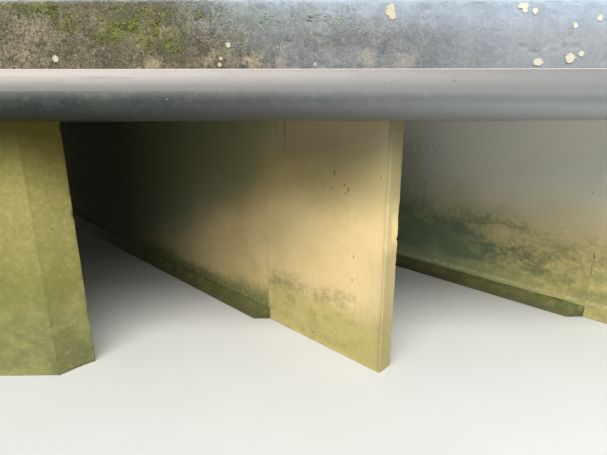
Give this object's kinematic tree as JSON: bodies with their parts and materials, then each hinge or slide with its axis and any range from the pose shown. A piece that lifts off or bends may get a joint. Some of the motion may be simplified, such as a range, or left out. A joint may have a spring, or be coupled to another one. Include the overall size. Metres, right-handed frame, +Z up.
{
  "type": "skewed box culvert headwall",
  "caption": "Mouth of a skewed concrete box culvert: haunched walls and deck slab, in-line wing walls, parapet upstand, and a steel pipe carried across the face on brackets.",
  "frame": {"origin": "middle of the bounding box, at the level of the stream bed on which the walls stand", "axes": "+X along the headwall to the right as seen from the stream, +Y into the culvert, +Z up"},
  "size_m": [14.0428, 6.324, 2.84],
  "materials": {
    "parapet_concrete": "dark weathered concrete with moss and lichen",
    "wall_concrete": "board-marked cast concrete, damp and streaked",
    "foot_concrete": "wet concrete with moss",
    "slab_concrete": "cast concrete, tamped on top",
    "pipe_coating": "black coating, semi-gloss",
    "galvanised_steel": "dull galvanised",
    "saddle_plastic": "matt black"
  },
  "bodies": {
    "root": {"centre_upstand": "parapet_concrete", "centre_wall_foot": "foot_concrete", "centre_wall_front": "wall_concrete", "centre_wall_mouth": "wall_concrete", "centre_wall_rear": "wall_concrete", "deck_slab_front": "slab_concrete", "deck_slab_mouth": "slab_concrete", "deck_slab_rear": "slab_concrete", "left_bracket_back_plate": "galvanised_steel", "left_bracket_gussets": "galvanised_steel", "left_bracket_shelf": "galvanised_steel", "left_pipe_saddle": "saddle_plastic", "left_u_bolt": "galvanised_steel", "left_upstand": "parapet_concrete", "left_wall_foot": "foot_concrete", "left_wall_front": "wall_concrete", "left_wall_mouth": "wall_concrete", "left_wall_rear": "wall_concrete", "left_wing_wall": "wall_concrete", "right_bracket_back_plate": "galvanised_steel", "right_bracket_gussets": "galvanised_steel", "right_bracket_shelf": "galvanised_steel", "right_pipe_saddle": "saddle_plastic", "right_u_bolt": "galvanised_steel", "right_upstand": "parapet_concrete", "right_wall_foot": "foot_concrete", "right_wall_front": "wall_concrete", "right_wall_mouth": "wall_concrete", "right_wall_rear": "wall_concrete", "right_wing_wall": "wall_concrete", "service_pipe": "pipe_coating"}
  },
  "joints": []
}
